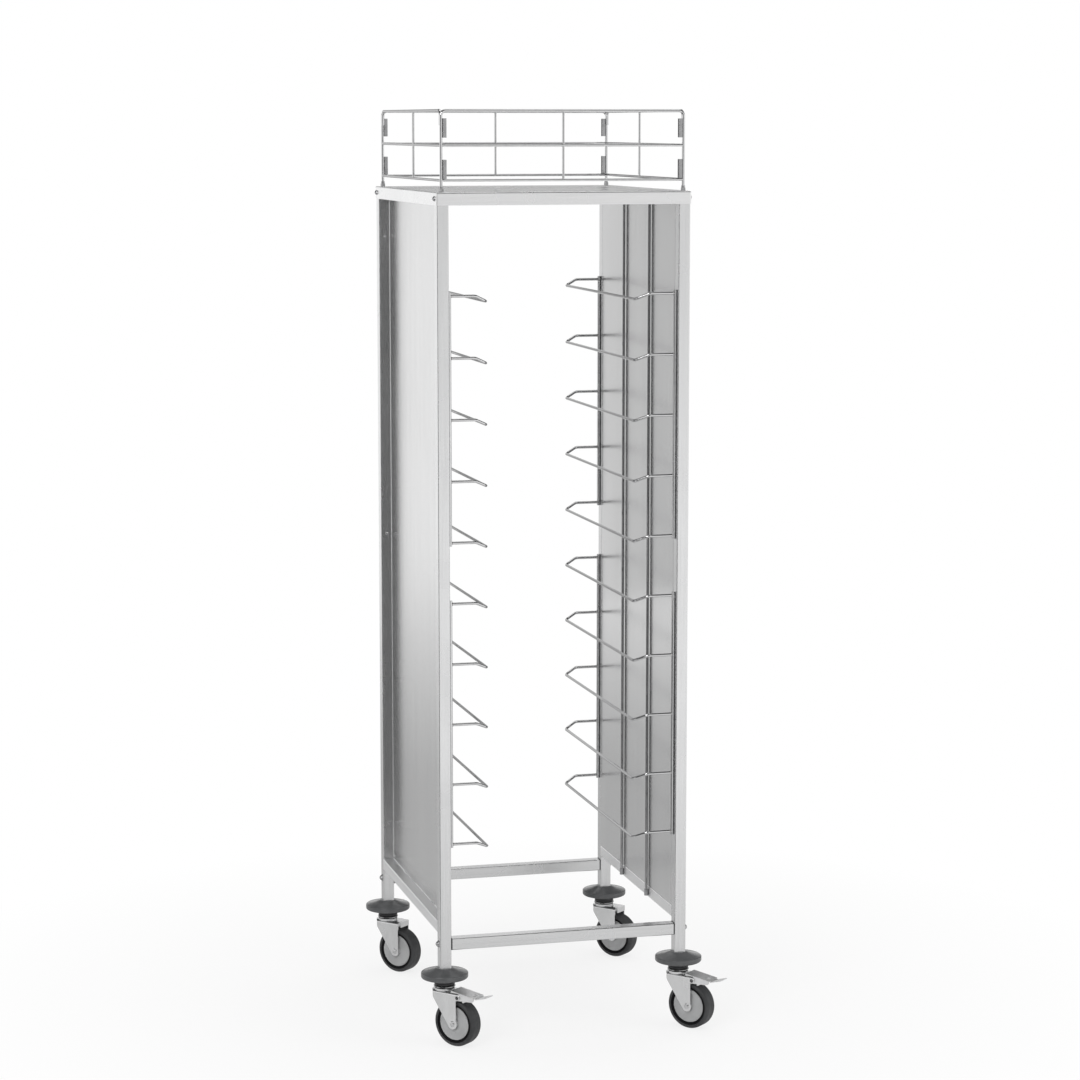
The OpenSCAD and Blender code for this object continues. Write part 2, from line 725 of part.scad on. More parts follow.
// Axle bolt with a low domed head on the near side and a nut on the far side
module axle() {
    half = fork_w / 2 + touch;
    color("silver") translate(axle_at) along_y() {
        rotate([180, 0, 0]) translate([0, 0, half])
            domed_bolt(axle_d, axle_head_d, axle_head_h, 2 * half + 1.4 * axle_nut_h);
        translate([0, 0, half]) cylinder(h = axle_nut_h, d = axle_nut_d, $fn = 6);
    }
}

// Wheel centre with its bearing boss, and a grey disc on each side
rim_r = wheel_d / 2 - tyre_t;
cap_r = rim_r - 3;

module rim() {
    half = wheel_w / 2;
    cap_half = half - 1.5;
    boss_r = axle_d / 2 + 5;
    dish_r = 6.5;
    color("darkgray") translate(axle_at) along_y() rotate_extrude($fn = 96) difference() {
        union() {
            translate([0, -half + 4]) square([rim_r, wheel_w - 8]);
            translate([0, -cap_half]) square([cap_r, 2 * cap_half]);
            translate([0, -hub_half]) square([boss_r, 2 * hub_half]);
        }
        translate([-axle_d, -2 * half]) square([1.5 * axle_d + running_gap, 4 * half]);
        for (s = [-1, 1]) translate([(cap_r + axle_d) / 2, s * (half + 0.8 * dish_r)]) circle(dish_r);
    }
}

// Rubber tyre with a rounded tread, seated on the wheel centre
module tyre() {
    half = wheel_w / 2;
    seat = rim_r + seat_gap;
    shoulder_r = axle_z - tyre_round;
    bead = 3;
    color("dimgray") translate(axle_at) along_y() rotate_extrude($fn = 96) difference() {
        union() {
            translate([0, -half + bead]) square([shoulder_r, wheel_w - 2 * bead]);
            translate([seat + bead / 2, -half]) square([shoulder_r - seat - bead / 2, wheel_w]);
            translate([0, -half + tyre_round]) square([axle_z, wheel_w - 2 * tyre_round]);
            for (s = [-1, 1]) translate([shoulder_r, s * (half - tyre_round)]) circle(tyre_round);
        }
        translate([-axle_z, -wheel_w]) square([axle_z + seat, 2 * wheel_w]);
    }
}

// Brake pedal: a folded channel over the wheel, pivoted in the fork, with a shoe and a lip

pedal_half = fork_inner - side_gap;
pedal_front = crown_r + 2.2;
pedal_back = pedal_pivot_x + 0.6 * pedal_l;
pedal_rise = 3;
lip_z = crown_z - 5.5;

// Turns the point p about the pedal's pivot, upwards by the pedal's travel
function before_press(p) =
    let (v = p - pedal_at, c = cos(pedal_travel), s = sin(pedal_travel))
    pedal_at + [v.x * c - v.z * s, 0, v.x * s + v.z * c];

// Side outline of the pedal, from its nose over the pivot to the end of the channel
module pedal_side() {
    pivot = [pedal_pivot_x, crown_z - pedal_pivot_drop];
    polygon([[pedal_front, crown_z + pedal_rise], [pedal_front, crown_z + 0.2 * pedal_rise], pivot + [-8, 3],
        pivot + [-5, -5], pivot + [3, -6.5], [pedal_back - 4, pivot.y - 4.5], [pedal_back, pivot.y - 1],
        [pedal_back, lip_z]]);
}

module pedal() {
    tip = pedal_pivot_x + pedal_l;
    lip_x = pedal_back - pedal_sheet;
    shoe = before_press(axle_at);
    web_x = pedal_pivot_x + 10;
    web_l = 12;
    dip = 1.5;
    slot_w = 14;
    slot_l = 8;
    color("silver") difference() {
        union() {
            rotate([90, 0, 0]) linear_extrude(2 * pedal_half, center = true) pedal_side();
            translate([web_x, -pedal_half + 1.5 * pedal_sheet, crown_z - 30])
                cube([web_l, 2 * pedal_half - 3 * pedal_sheet, 26]);
            rotate([90, 0, 0]) linear_extrude(pedal_lip_w, center = true)
                polygon([[lip_x, lip_z - 2 * pedal_sheet], [lip_x, lip_z], [pedal_back + 4, lip_z - dip],
                    [tip, lip_z + 5], [tip, lip_z + 5 - pedal_sheet],
                    [pedal_back + 4, lip_z - dip - pedal_sheet]]);
        }
        difference() {
            translate([0, 0, -pedal_sheet]) rotate([90, 0, 0])
                linear_extrude(2 * (pedal_half - pedal_sheet), center = true)
                polygon([[0, -crown_z], [0, crown_z + 8], [pedal_front, crown_z + pedal_rise],
                    [pedal_back, lip_z], [pedal_back, -crown_z]]);
            translate([web_x, -fork_w, 0]) cube([pedal_sheet, 2 * fork_w, 2 * crown_z]);
        }
        translate(shoe) rotate([90, 0, 0]) cylinder(h = 2 * fork_w, r = axle_z + side_gap, center = true);
        translate([pedal_back - 1.5 * slot_l, -slot_w / 2, lip_z - slot_w])
            cube([slot_l, slot_w, 3 * slot_w]);
        translate(pedal_at) rotate([90, 0, 0])
            cylinder(h = 2 * fork_w, r = pedal_pin_d / 2 + running_gap, center = true);
    }
}

module pedal_pin() {
    half = fork_w / 2 + touch;
    color("silver") translate(pedal_at) along_y() {
        translate([0, 0, -half]) cylinder(h = 2 * half, d = pedal_pin_d);
        for (s = [0, 180]) rotate([s, 0, 0]) translate([0, 0, half])
            domed_bolt(pedal_pin_d, pedal_pin_d + 3, 1.8, through);
    }
}

post(-1, -1);  // post_front_left
post(1, -1);  // post_front_right
post(-1, 1);  // post_rear_left
post(1, 1);  // post_rear_right
cross_rail(-1);  // rail_front
cross_rail(1);  // rail_rear
side_rail(-1, side_rail_z);  // rail_left
side_rail(1, side_rail_z);  // rail_right
rails_top();
rail_plugs();
rail_bolts();
top_shelf();
shelf_bolts();
post_inserts();
side_panel(-1);  // panel_left
side_panel(1);  // panel_right
panel_rivets();
guard_rods(-1);  // guard_rods_left
guard_rods(1);  // guard_rods_right
rack(-1, rack_levels);  // rack_upper_left
rack(-1, 0);  // rack_lower_left
rack(1, rack_levels);  // rack_upper_right
rack(1, 0);  // rack_lower_right
gallery_frame(-1);  // gallery_front
gallery_frame(1);  // gallery_rear
gallery_side(-1);  // gallery_left
gallery_side(1);  // gallery_right
gallery_clips();
gallery_feet();
castor_plugs();
castor_stems();
castor_races();
bumper(-1, -1);  // bumper_front_left
bumper(1, -1);  // bumper_front_right
bumper(-1, 1);  // bumper_rear_left
bumper(1, 1);  // bumper_rear_right
at_castor(-1, -1) fork(true);  // fork_front_left
at_castor(1, -1) fork(true);  // fork_front_right
at_castor(-1, 1) fork(false);  // fork_rear_left
at_castor(1, 1) fork(false);  // fork_rear_right
at_castor(-1, -1) axle();  // axle_front_left
at_castor(1, -1) axle();  // axle_front_right
at_castor(-1, 1) axle();  // axle_rear_left
at_castor(1, 1) axle();  // axle_rear_right
at_castor(-1, -1) rim();  // rim_front_left
at_castor(1, -1) rim();  // rim_front_right
at_castor(-1, 1) rim();  // rim_rear_left
at_castor(1, 1) rim();  // rim_rear_right
at_castor(-1, -1) tyre();  // tyre_front_left
at_castor(1, -1) tyre();  // tyre_front_right
at_castor(-1, 1) tyre();  // tyre_rear_left
at_castor(1, 1) tyre();  // tyre_rear_right
at_castor(-1, -1) pedal();  // pedal_front_left
at_castor(1, -1) pedal();  // pedal_front_right
at_castor(-1, -1) pedal_pin();  // pedal_pin_front_left
at_castor(1, -1) pedal_pin();  // pedal_pin_front_right
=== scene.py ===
import json
import math

import bpy
from mathutils import Matrix, Vector


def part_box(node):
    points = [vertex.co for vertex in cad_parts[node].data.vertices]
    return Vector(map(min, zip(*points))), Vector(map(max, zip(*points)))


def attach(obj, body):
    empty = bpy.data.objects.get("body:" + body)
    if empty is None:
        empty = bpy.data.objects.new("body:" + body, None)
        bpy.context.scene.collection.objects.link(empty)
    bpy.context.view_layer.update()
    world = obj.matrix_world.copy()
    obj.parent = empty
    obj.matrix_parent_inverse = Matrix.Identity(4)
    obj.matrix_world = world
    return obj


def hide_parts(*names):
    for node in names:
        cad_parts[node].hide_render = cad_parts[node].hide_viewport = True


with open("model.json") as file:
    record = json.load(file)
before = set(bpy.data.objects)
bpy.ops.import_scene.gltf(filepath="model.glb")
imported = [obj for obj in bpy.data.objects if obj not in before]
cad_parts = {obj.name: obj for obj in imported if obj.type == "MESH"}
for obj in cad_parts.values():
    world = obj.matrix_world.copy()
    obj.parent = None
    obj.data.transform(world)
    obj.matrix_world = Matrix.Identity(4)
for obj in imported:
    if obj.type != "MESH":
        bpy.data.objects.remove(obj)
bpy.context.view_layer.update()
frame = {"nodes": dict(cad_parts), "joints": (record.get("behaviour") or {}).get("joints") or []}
nodes = frame["nodes"]
joints = {joint["name"]: joint for joint in frame["joints"]}
corners = ["front_left", "front_right", "rear_left", "rear_right"]
print("frame loaded:", len(nodes), "nodes")

# Camera, at the viewpoint of the photograph
camera = {"lens": 101.134, "sensor": 36, "place": (-1.63078, -6.35472, 1.92672), "turn": 14.6181,
          "tilt": 7.83455}

cameraData = bpy.data.cameras.new("camera")
cameraData.lens = camera["lens"]
cameraData.sensor_width = camera["sensor"]
cameraObject = bpy.data.objects.new("camera", cameraData)
bpy.context.collection.objects.link(cameraObject)
cameraObject.location = camera["place"]
cameraObject.rotation_euler = (math.radians(90 - camera["tilt"]), 0, math.radians(-camera["turn"]))
bpy.context.scene.camera = cameraObject
bpy.context.scene.view_settings.view_transform = "Standard"

# Modelling helpers. Least radius in millimetres, merge distance in metres, smooth angle in degrees
lathe = {"least": 0.004, "merge": 0.00002, "smooth": 35}


def deselect():
    if bpy.context.object and bpy.context.object.mode != "OBJECT":
        bpy.ops.object.mode_set(mode="OBJECT")
    bpy.ops.object.select_all(action="DESELECT")


def pick(*objects):
    deselect()
    for o in objects:
        o.select_set(True)
    bpy.context.view_layer.objects.active = objects[0]


def turned(name, rings, sides, smooth=lathe["smooth"]):  # a lathe by hand: rings are (radius, height) in mm
    deselect()
    rings = [(max(r, lathe["least"]), z) for r, z in rings]
    start, foot = rings[0]
    bpy.ops.mesh.primitive_circle_add(vertices=sides, radius=start / 1000, location=(0, 0, foot / 1000))
    piece = bpy.context.object
    piece.name = piece.data.name = name
    bpy.ops.object.transform_apply(location=True, rotation=True, scale=True)
    bpy.ops.object.mode_set(mode="EDIT")
    bpy.ops.mesh.select_all(action="SELECT")
    for (ra, za), (rb, zb) in zip(rings, rings[1:]):
        bpy.ops.mesh.extrude_region_move(TRANSFORM_OT_translate={"value": (0, 0, (zb - za) / 1000)})
        bpy.ops.transform.resize(value=(rb / ra, rb / ra, 1), center_override=(0, 0, zb / 1000))
    bpy.ops.mesh.select_all(action="SELECT")
    bpy.ops.mesh.remove_doubles(threshold=lathe["merge"])
    bpy.ops.mesh.normals_make_consistent(inside=False)
    bpy.ops.object.mode_set(mode="OBJECT")
    bpy.ops.object.shade_smooth_by_angle(angle=math.radians(smooth))
    return piece


def rounded(r, z, radius, start, end, steps=6):  # rings round a corner, in degrees from outward
    step = (end - start) / steps
    angles = [math.radians(start + step * k) for k in range(steps + 1)]
    return [(r + radius * math.cos(a), z + radius * math.sin(a)) for a in angles]


def mirrored(side):  # a profile with its mirror image, closed at its first ring
    return side + [(r, -z) for r, z in reversed(side)] + side[:1]


def titled(name):
    return "".join(part.title() for part in name.split("_"))


def copyOf(piece, name):
    new = piece.copy()
    new.data = piece.data.copy()
    new.name = new.data.name = name
    bpy.context.collection.objects.link(new)
    return new


def put(piece, place, xAxis=(1, 0, 0), zAxis=(0, 0, 1)):  # place in metres, own X and Z turned to these
    z = Vector(zAxis).normalized()
    x = (Vector(xAxis) - Vector(xAxis).dot(z) * z).normalized()
    y = z.cross(x)
    piece.matrix_world = Matrix((x, y, z)).transposed().to_4x4()
    piece.location = place
    pick(piece)
    bpy.ops.object.transform_apply(location=True, rotation=True, scale=True)
    return piece


def joined(pieces, name):
    pick(*pieces)
    bpy.ops.object.join()
    piece = bpy.context.object
    piece.name = piece.data.name = name
    return piece


def dress(piece, material):
    piece.data.materials.clear()
    piece.data.materials.append(material)
    return piece


def finishPiece(piece, material, body, slot, *replaced):
    dress(piece, material)
    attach(piece, body)
    if replaced:
        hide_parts(*replaced)
    return piece


# Shader helpers
def newGroup(name, inputs, outputs):
    tree = bpy.data.node_groups.new(name, "ShaderNodeTree")
    for label, kind, value in inputs:
        socket = tree.interface.new_socket(name=label, in_out="INPUT", socket_type=kind)
        if value is not None:
            socket.default_value = value
    for label, kind in outputs:
        tree.interface.new_socket(name=label, in_out="OUTPUT", socket_type=kind)
    return tree, tree.nodes.new("NodeGroupInput"), tree.nodes.new("NodeGroupOutput")


def add(tree, kind, **values):
    node = tree.nodes.new(kind)
    for key, value in values.items():
        if hasattr(node, key) and key not in node.inputs:
            setattr(node, key, value)
        else:
            node.inputs[key].default_value = value
    return node


def useEffect(tree, effect, **values):
    node = tree.nodes.new("ShaderNodeGroup")
    node.node_tree = effect
    for key, value in values.items():
        node.inputs[key].default_value = value
    return node


def feed(tree, source, socket):  # a link from a socket, or else a value
    if hasattr(source, "links"):
        tree.links.new(source, socket)
    else:
        socket.default_value = source


def combine(tree, operation, first, second):
    node = add(tree, "ShaderNodeMath", operation=operation)
    feed(tree, first, node.inputs[0])
    feed(tree, second, node.inputs[1])
    return node.outputs[0]


def remap(tree, source, fromLow, fromHigh, toLow, toHigh):
    node = add(tree, "ShaderNodeMapRange")
    for index, value in enumerate((source, fromLow, fromHigh, toLow, toHigh)):
        feed(tree, value, node.inputs[index])
    return node.outputs[0]


def blendColours(tree, mask, low, high):  # inputs 6 and 7 and output 2 are the ones for colours
    node = tree.nodes.new("ShaderNodeMix")
    node.data_type = "RGBA"
    tree.links.new(mask, node.inputs[0])
    for colour, socket in ((low, node.inputs[6]), (high, node.inputs[7])):
        feed(tree, colour if hasattr(colour, "links") else (*colour, 1), socket)
    return node.outputs[2]


floatKind, vectorKind = "NodeSocketFloat", "NodeSocketVector"

# Fine lines left by grinding: Vector is already stretched along the lines
grinding = {"detail": 6.0, "roughness": 0.65, "broadDetail": 2.0, "broadRoughness": 0.5, "broadRatio": 0.17,
            "between": (0.7, 1.3)}
grainTree, grainIn, grainOut = newGroup(
    "brushedGrain", [("Vector", vectorKind, None), ("Fineness", floatKind, 1.0)],
    [("Tone", floatKind), ("Height", floatKind)])
fine = add(grainTree, "ShaderNodeTexNoise", Detail=grinding["detail"], Roughness=grinding["roughness"])
broad = add(grainTree, "ShaderNodeTexNoise", Detail=grinding["broadDetail"],
            Roughness=grinding["broadRoughness"])
for noise in (fine, broad):
    grainTree.links.new(grainIn.outputs["Vector"], noise.inputs["Vector"])
grainTree.links.new(grainIn.outputs["Fineness"], fine.inputs["Scale"])
broadScale = combine(grainTree, "MULTIPLY", grainIn.outputs["Fineness"], grinding["broadRatio"])
grainTree.links.new(broadScale, broad.inputs["Scale"])
both = combine(grainTree, "ADD", fine.outputs["Fac"], broad.outputs["Fac"])
grainTree.links.new(remap(grainTree, both, *grinding["between"], 0.0, 1.0), grainOut.inputs["Tone"])
grainTree.links.new(fine.outputs["Fac"], grainOut.inputs["Height"])

# Soft patches where the surface was handled or wiped
wiping = {"detail": 3.0, "roughness": 0.55, "distortion": 0.6, "between": (0.35, 0.7)}
wipeTree, wipeIn, wipeOut = newGroup(
    "wipedPatches", [("Vector", vectorKind, None), ("Size", floatKind, 4.0)], [("Mask", floatKind)])
cloud = add(wipeTree, "ShaderNodeTexNoise", Detail=wiping["detail"], Roughness=wiping["roughness"],
            Distortion=wiping["distortion"])
wipeTree.links.new(wipeIn.outputs["Vector"], cloud.inputs["Vector"])
wipeTree.links.new(wipeIn.outputs["Size"], cloud.inputs["Scale"])
wipeTree.links.new(remap(wipeTree, cloud.outputs["Fac"], *wiping["between"], 0.0, 1.0), wipeOut.inputs["Mask"])

# Edges rubbed brighter than the faces
rubbing = {"scale": 220.0, "detail": 4.0, "pointed": (0.52, 0.62), "between": (0.4, 0.6), "least": 0.2}
rubTree, rubIn, rubOut = newGroup(
    "rubbedEdges", [("Vector", vectorKind, None), ("Width", floatKind, 0.5)], [("Mask", floatKind)])
shape = add(rubTree, "ShaderNodeNewGeometry")
breakUp = add(rubTree, "ShaderNodeTexNoise", Scale=rubbing["scale"], Detail=rubbing["detail"])
rubTree.links.new(rubIn.outputs["Vector"], breakUp.inputs["Vector"])
edge = remap(rubTree, shape.outputs["Pointiness"], *rubbing["pointed"], 0.0, 1.0)
broken = remap(rubTree, breakUp.outputs["Fac"], *rubbing["between"], rubbing["least"], 1.0)
edgeBroken = combine(rubTree, "MULTIPLY", edge, broken)
rubTree.links.new(combine(rubTree, "MULTIPLY", edgeBroken, rubIn.outputs["Width"]), rubOut.inputs["Mask"])

# The skin of moulded plastic or rubber, with fine dust
moulding = {"poreDetail": 4.0, "poreRoughness": 0.6, "shadeScale": 26.0, "shadeDetail": 3.0,
            "between": (0.35, 0.65), "speckScale": 420.0, "speckSize": 0.16, "patchSize": 30.0}
skinTree, skinIn, skinOut = newGroup(
    "mouldedSkin", [("Vector", vectorKind, None), ("Fineness", floatKind, 900.0)],
    [("Tone", floatKind), ("Height", floatKind), ("Dust", floatKind)])
pores = add(skinTree, "ShaderNodeTexNoise", Detail=moulding["poreDetail"], Roughness=moulding["poreRoughness"])
shade = add(skinTree, "ShaderNodeTexNoise", Scale=moulding["shadeScale"], Detail=moulding["shadeDetail"])
specks = add(skinTree, "ShaderNodeTexVoronoi", Scale=moulding["speckScale"])
for target in (pores, shade, specks):
    skinTree.links.new(skinIn.outputs["Vector"], target.inputs["Vector"])
skinTree.links.new(skinIn.outputs["Fineness"], pores.inputs["Scale"])
skinTone = remap(skinTree, shade.outputs["Fac"], *moulding["between"], 0.0, 1.0)
skinDust = remap(skinTree, specks.outputs["Distance"], 0.0, moulding["speckSize"], 1.0, 0.0)
skinTree.links.new(skinTone, skinOut.inputs["Tone"])
skinTree.links.new(pores.outputs["Fac"], skinOut.inputs["Height"])
skinTree.links.new(skinDust, skinOut.inputs["Dust"])

# Finishes. Bump depths are in metres
bumpDepth = {"steel": 0.0004, "moulded": 0.0003}
# Painted shade for round wire: its colour is darkened towards the outline, where the surface turns away from
# the view
paintedOutlineShade = {"blend": 0.5, "between": (0.45, 0.9), "colour": (0.12, 0.12, 0.122)}


def startMaterial(name, metallic):
    material = bpy.data.materials.new(name)
    material.use_nodes = True
    tree = material.node_tree
    shader = tree.nodes["Principled BSDF"]
    shader.inputs["Metallic"].default_value = metallic
    coords = tree.nodes.new("ShaderNodeTexCoord")
    return material, tree, shader, coords.outputs["Object"]


def connectShader(tree, shader, look, colour, wiped, height, depth):
    tree.links.new(colour, shader.inputs["Base Color"])
    tree.links.new(remap(tree, wiped.outputs["Mask"], 0, 1, *look["roughness"]), shader.inputs["Roughness"])
    bump = add(tree, "ShaderNodeBump", Strength=look["bump"], Distance=depth)
    tree.links.new(height, bump.inputs["Height"])
    tree.links.new(bump.outputs[0], shader.inputs["Normal"])


def steelFinish(name, look, stretch):
    material, tree, shader, coords = startMaterial(name, 1.0)
    mapping = add(tree, "ShaderNodeMapping")
    mapping.inputs["Scale"].default_value = stretch
    tree.links.new(coords, mapping.inputs["Vector"])
    grain = useEffect(tree, grainTree, Fineness=look["fineness"])
    tree.links.new(mapping.outputs[0], grain.inputs["Vector"])
    wiped = useEffect(tree, wipeTree, Size=look["patchSize"])
    tree.links.new(coords, wiped.inputs["Vector"])
    colour = blendColours(tree, grain.outputs["Tone"], look["dark"], look["light"])
    if "edge" in look:  # turned pieces are rubbed brighter at their edges
        rubbed = useEffect(tree, rubTree, Width=look["edge"])
        tree.links.new(coords, rubbed.inputs["Vector"])
        colour = blendColours(tree, rubbed.outputs["Mask"], colour, look["rubbed"])
    if "outline" in look:  # painted shade: round wire is darkened towards its outline, where its surface turns away from the view
        facing = add(tree, "ShaderNodeLayerWeight", Blend=paintedOutlineShade["blend"])
        outline = remap(tree, facing.outputs["Facing"], *paintedOutlineShade["between"], 0.0, look["outline"])
        colour = blendColours(tree, outline, colour, paintedOutlineShade["colour"])
    connectShader(tree, shader, look, colour, wiped, grain.outputs["Height"], bumpDepth["steel"])
    return material


def mouldedFinish(name, look):
    material, tree, shader, coords = startMaterial(name, 0.0)
    shader.inputs["Specular IOR Level"].default_value = look["sheen"]
    skin = useEffect(tree, skinTree, Fineness=look["fineness"])
    rubbed = useEffect(tree, rubTree, Width=look["edge"])
    wiped = useEffect(tree, wipeTree, Size=moulding["patchSize"])
    for effect in (skin, rubbed, wiped):
        tree.links.new(coords, effect.inputs["Vector"])
    plain = blendColours(tree, skin.outputs["Tone"], look["dark"], look["light"])
    dust = combine(tree, "MULTIPLY", skin.outputs["Dust"], look["dust"])
    dusted = blendColours(tree, dust, plain, look["dustColour"])
    colour = blendColours(tree, rubbed.outputs["Mask"], dusted, look["rubbed"])
    connectShader(tree, shader, look, colour, wiped, skin.outputs["Height"], bumpDepth["moulded"])
    return material


tubeLook = {"dark": (0.73, 0.732, 0.736), "light": (0.79, 0.792, 0.795),
            "roughness": (0.22, 0.30), "fineness": 7.0, "patchSize": 7.0, "bump": 0.006}
# Painted light: the tube steel, painted lighter for the rails that run front to back and the top rails
sideTubePaintedLighterLook = {"dark": (0.93, 0.932, 0.936), "light": (0.97, 0.972, 0.975),
            "roughness": (0.32, 0.40), "fineness": 7.0, "patchSize": 7.0, "bump": 0.006}
sheetLook = {"dark": (0.70, 0.702, 0.705), "light": (0.745, 0.745, 0.747),
             "roughness": (0.22, 0.26), "fineness": 6.0, "patchSize": 2.5, "bump": 0.004}
shelfLook = {"dark": (0.84, 0.842, 0.845), "light": (0.90, 0.90, 0.903),
             "roughness": (0.24, 0.31), "fineness": 7.0, "patchSize": 4.0, "bump": 0.006}
wireLook = {"dark": (0.68, 0.68, 0.685), "light": (0.76, 0.76, 0.765),
            "roughness": (0.07, 0.12), "fineness": 9.0, "patchSize": 20.0, "bump": 0.004, "outline": 0.9}
# Painted shade: the guard rods are the wire steel painted much darker
rodPaintedDarkerLook = {"dark": (0.38, 0.38, 0.385), "light": (0.45, 0.45, 0.455),
           "roughness": (0.06, 0.10), "fineness": 9.0, "patchSize": 12.0, "bump": 0.003, "outline": 0.7}
footLook = {"dark": (0.38, 0.38, 0.385), "light": (0.48, 0.48, 0.485),
            "roughness": (0.2, 0.3), "fineness": 9.0, "patchSize": 40.0, "bump": 0.008}
forkLook = {"dark": (0.76, 0.762, 0.766), "light": (0.86, 0.862, 0.865),
            "roughness": (0.20, 0.28), "fineness": 3.0, "patchSize": 24.0, "bump": 0.01}
# Painted light: the forks' pressed steel, painted lighter on the pedals
pedalPaintedLighterLook = {"dark": (0.82, 0.822, 0.825), "light": (0.94, 0.942, 0.945),
             "roughness": (0.42, 0.50), "fineness": 5.0, "patchSize": 60.0, "bump": 0.03}
pinLook = {"dark": (0.09, 0.09, 0.092), "light": (0.15, 0.15, 0.152),
           "roughness": (0.3, 0.4), "fineness": 9.0, "patchSize": 60.0, "bump": 0.03}
weldLook = {"dark": (0.36, 0.35, 0.34), "light": (0.58, 0.57, 0.56), "rubbed": (0.75, 0.75, 0.74),
            "edge": 0.8, "roughness": (0.3, 0.5), "fineness": 14.0, "patchSize": 60.0, "bump": 0.3}
fixingLook = {"dark": (0.40, 0.40, 0.41), "light": (0.58, 0.58, 0.585), "rubbed": (0.8, 0.8, 0.8),
              "edge": 0.8, "roughness": (0.2, 0.32), "fineness": 12.0, "patchSize": 60.0, "bump": 0.05}
raceLook = {"dark": (0.60, 0.60, 0.605), "light": (0.74, 0.74, 0.745), "rubbed": (0.85, 0.85, 0.85),
            "edge": 0.6, "roughness": (0.10, 0.18), "fineness": 12.0, "patchSize": 60.0, "bump": 0.03}

# Scale of the finishes along x, y and z: a small number draws their lines out
alongX, alongY, alongZ = (3, 160, 160), (160, 3, 160), (160, 160, 3)
upSheet, upRod, pressed, allRound = (40, 40, 1.2), (60, 60, 4), (40, 40, 14), (60, 60, 60)

tubeUpright = steelFinish("tubeSteelUpright", tubeLook, alongZ)
tubeAcross = steelFinish("tubeSteelAcross", tubeLook, alongX)
# painted light: the lighter copy of the tube steel
tubeDeep = steelFinish("tubeSteelDeepPaintedLighter", sideTubePaintedLighterLook, alongY)
panelSteel = steelFinish("panelSteel", sheetLook, upSheet)
shelfSteel = steelFinish("shelfSteel", shelfLook, alongX)
wireSteel = steelFinish("wireSteel", wireLook, allRound)
rodSteelPaintedDarker = steelFinish("rodSteelPaintedDarker", rodPaintedDarkerLook, upRod)
footSteel = steelFinish("footSteel", footLook, allRound)
raceSteel = steelFinish("raceSteel", raceLook, allRound)
weldSteel = steelFinish("weldSteel", weldLook, allRound)
fixingSteel = steelFinish("fixingSteel", fixingLook, allRound)
forkSteel = steelFinish("pressedSteel", forkLook, pressed)
pedalSteelPaintedLighter = steelFinish("pedalSteelPaintedLighter", pedalPaintedLighterLook, pressed)
pinSteel = steelFinish("pinSteel", pinLook, allRound)

bumperRubber = mouldedFinish("bumperRubber", {
    "dark": (0.095, 0.097, 0.10), "light": (0.12, 0.122, 0.125), "rubbed": (0.19, 0.19, 0.195), "edge": 0.8,
    "fineness": 900.0, "roughness": (0.15, 0.20), "bump": 0.03, "sheen": 0.5,
    "dust": 0.03, "dustColour": (0.35, 0.35, 0.35)})
tyreRubber = mouldedFinish("tyreRubber", {
    "dark": (0.035, 0.036, 0.038), "light": (0.055, 0.056, 0.058), "rubbed": (0.1, 0.1, 0.1), "edge": 0.4,
    "fineness": 1100.0, "roughness": (0.5, 0.68), "bump": 0.3, "sheen": 0.5,
    "dust": 0.06, "dustColour": (0.3, 0.3, 0.29)})
rimPlastic = mouldedFinish("rimPlastic", {
    "dark": (0.39, 0.394, 0.396), "light": (0.46, 0.464, 0.466), "rubbed": (0.5, 0.5, 0.5), "edge": 0.5,
    "fineness": 1500.0, "roughness": (0.42, 0.55), "bump": 0.2, "sheen": 0.5,
    "dust": 0.04, "dustColour": (0.5, 0.5, 0.5)})
# Black rubber of the swivel seals, and painted shade: the near-black ring in the wheel's recess and the filling
# in each race plate's groove
ringShadeAndSealRubber = mouldedFinish("ringShadeAndSealRubber", {
    "dark": (0.006, 0.006, 0.007), "light": (0.010, 0.010, 0.011), "rubbed": (0.03, 0.03, 0.03), "edge": 0.3,
    "fineness": 1100.0, "roughness": (0.55, 0.7), "bump": 0.2, "sheen": 0.1,
    "dust": 0.02, "dustColour": (0.2, 0.2, 0.2)})
plugPlastic = mouldedFinish("plugPlastic", {
    "dark": (0.02, 0.02, 0.022), "light": (0.035, 0.035, 0.037), "rubbed": (0.07, 0.07, 0.07), "edge": 0.4,
    "fineness": 1300.0, "roughness": (0.4, 0.5), "bump": 0.15, "sheen": 0.5,
    "dust": 0.03, "dustColour": (0.2, 0.2, 0.2)})

dressing = {"top_shelf": shelfSteel}
for corner in corners:
    dressing["post_" + corner] = tubeUpright
    dressing["bumper_" + corner] = bumperRubber
    dressing["rim_" + corner] = rimPlastic
    dressing["tyre_" + corner] = tyreRubber
    dressing["fork_" + corner] = forkSteel
    dressing["pedal_" + corner] = pedalSteelPaintedLighter
    dressing["pedal_pin_" + corner] = pinSteel
for material, names in (
        (tubeAcross, ("rail_front", "rail_rear")),
        (tubeDeep, ("rail_left", "rail_right", "rails_top")),
        (panelSteel, ("panel_left", "panel_right")),
        (plugPlastic, ("rail_plugs", "post_inserts", "castor_plugs")),
        (footSteel, ("gallery_feet", "gallery_clips", "castor_stems")),
        (rodSteelPaintedDarker, ("guard_rods_left", "guard_rods_right"))):
    for name in names:
        dressing[name] = material
for name, node in nodes.items():
    dress(node, dressing.get(name, wireSteel))
print("finishes made")

# Castors. Measures of the turned pieces are in millimetres
tyre = {"radius": 50, "width": 32, "seat": 39.25, "shoulder": 6, "grooveDepth": 0.7, "sides": 96}


